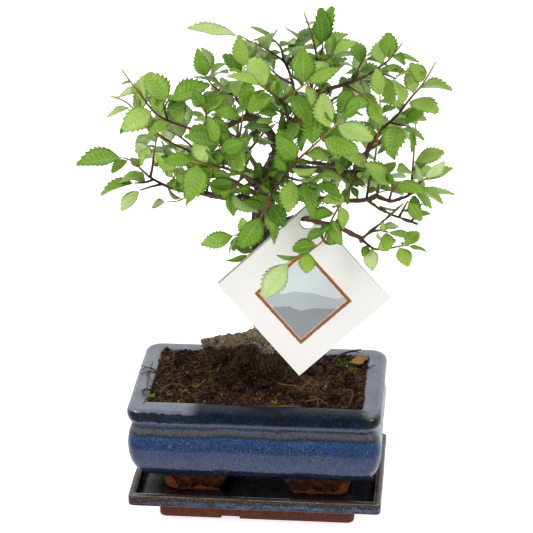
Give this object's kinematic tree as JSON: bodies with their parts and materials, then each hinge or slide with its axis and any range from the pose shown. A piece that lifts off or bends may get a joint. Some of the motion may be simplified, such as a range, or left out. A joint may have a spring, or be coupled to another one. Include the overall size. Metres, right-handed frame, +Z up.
{
  "type": "bonsai tree in a pot",
  "caption": "Small bonsai tree with toothed oval leaves in a footed rectangular glazed pot on a drip tray, with a folded square card hung on a branch.",
  "frame": {"origin": "under the middle of the whole object's box, on the surface it stands on", "axes": "+Z up, +X to the right as seen from the front, +Y to the back"},
  "size_m": [0.216, 0.1332, 0.3153],
  "materials": {
    "pot_glaze": "gloss",
    "saucer_glaze": "gloss",
    "soil": "matte",
    "bark": "matte",
    "foliage": "satin",
    "card": "satin"
  },
  "bodies": {
    "root": {"pot": "pot_glaze", "saucer": "saucer_glaze", "soil": "soil", "spray_back": "foliage", "spray_back_high": "foliage", "spray_back_high_left": "foliage", "spray_back_low_left": "foliage", "spray_back_low_left_up": "foliage", "spray_back_low_right": "foliage", "spray_back_low_right_up": "foliage", "spray_back_middle": "foliage", "spray_front_drop": "foliage", "spray_front_hanging": "foliage", "spray_front_high": "foliage", "spray_front_high_right": "foliage", "spray_front_left": "foliage", "spray_front_left_drop": "foliage", "spray_front_right_tip": "foliage", "spray_front_right_up": "foliage", "spray_front_shoot": "foliage", "spray_front_upper_left": "foliage", "spray_left_low_inner": "foliage", "spray_left_low_middle": "foliage", "spray_left_low_outer": "foliage", "spray_left_low_tip": "foliage", "spray_left_mid": "foliage", "spray_left_upper": "foliage", "spray_right_back": "foliage", "spray_right_back_low": "foliage", "spray_right_high": "foliage", "spray_right_high_back": "foliage", "spray_right_low_back": "foliage", "spray_right_low_bright": "foliage", "spray_right_low_drop": "foliage", "spray_right_low_front": "foliage", "spray_right_low_tip": "foliage", "spray_right_top": "foliage", "spray_right_top_back": "foliage", "spray_right_top_drop": "foliage", "spray_right_top_up": "foliage", "spray_right_upright": "foliage", "spray_top": "foliage", "spray_top_back": "foliage", "spray_top_left": "foliage", "spray_top_right": "foliage", "spray_top_right_back": "foliage", "spray_trunk_shoot_lower": "foliage", "spray_trunk_shoot_upper": "foliage", "tag": "card", "trunk": "bark"}
  },
  "joints": []
}
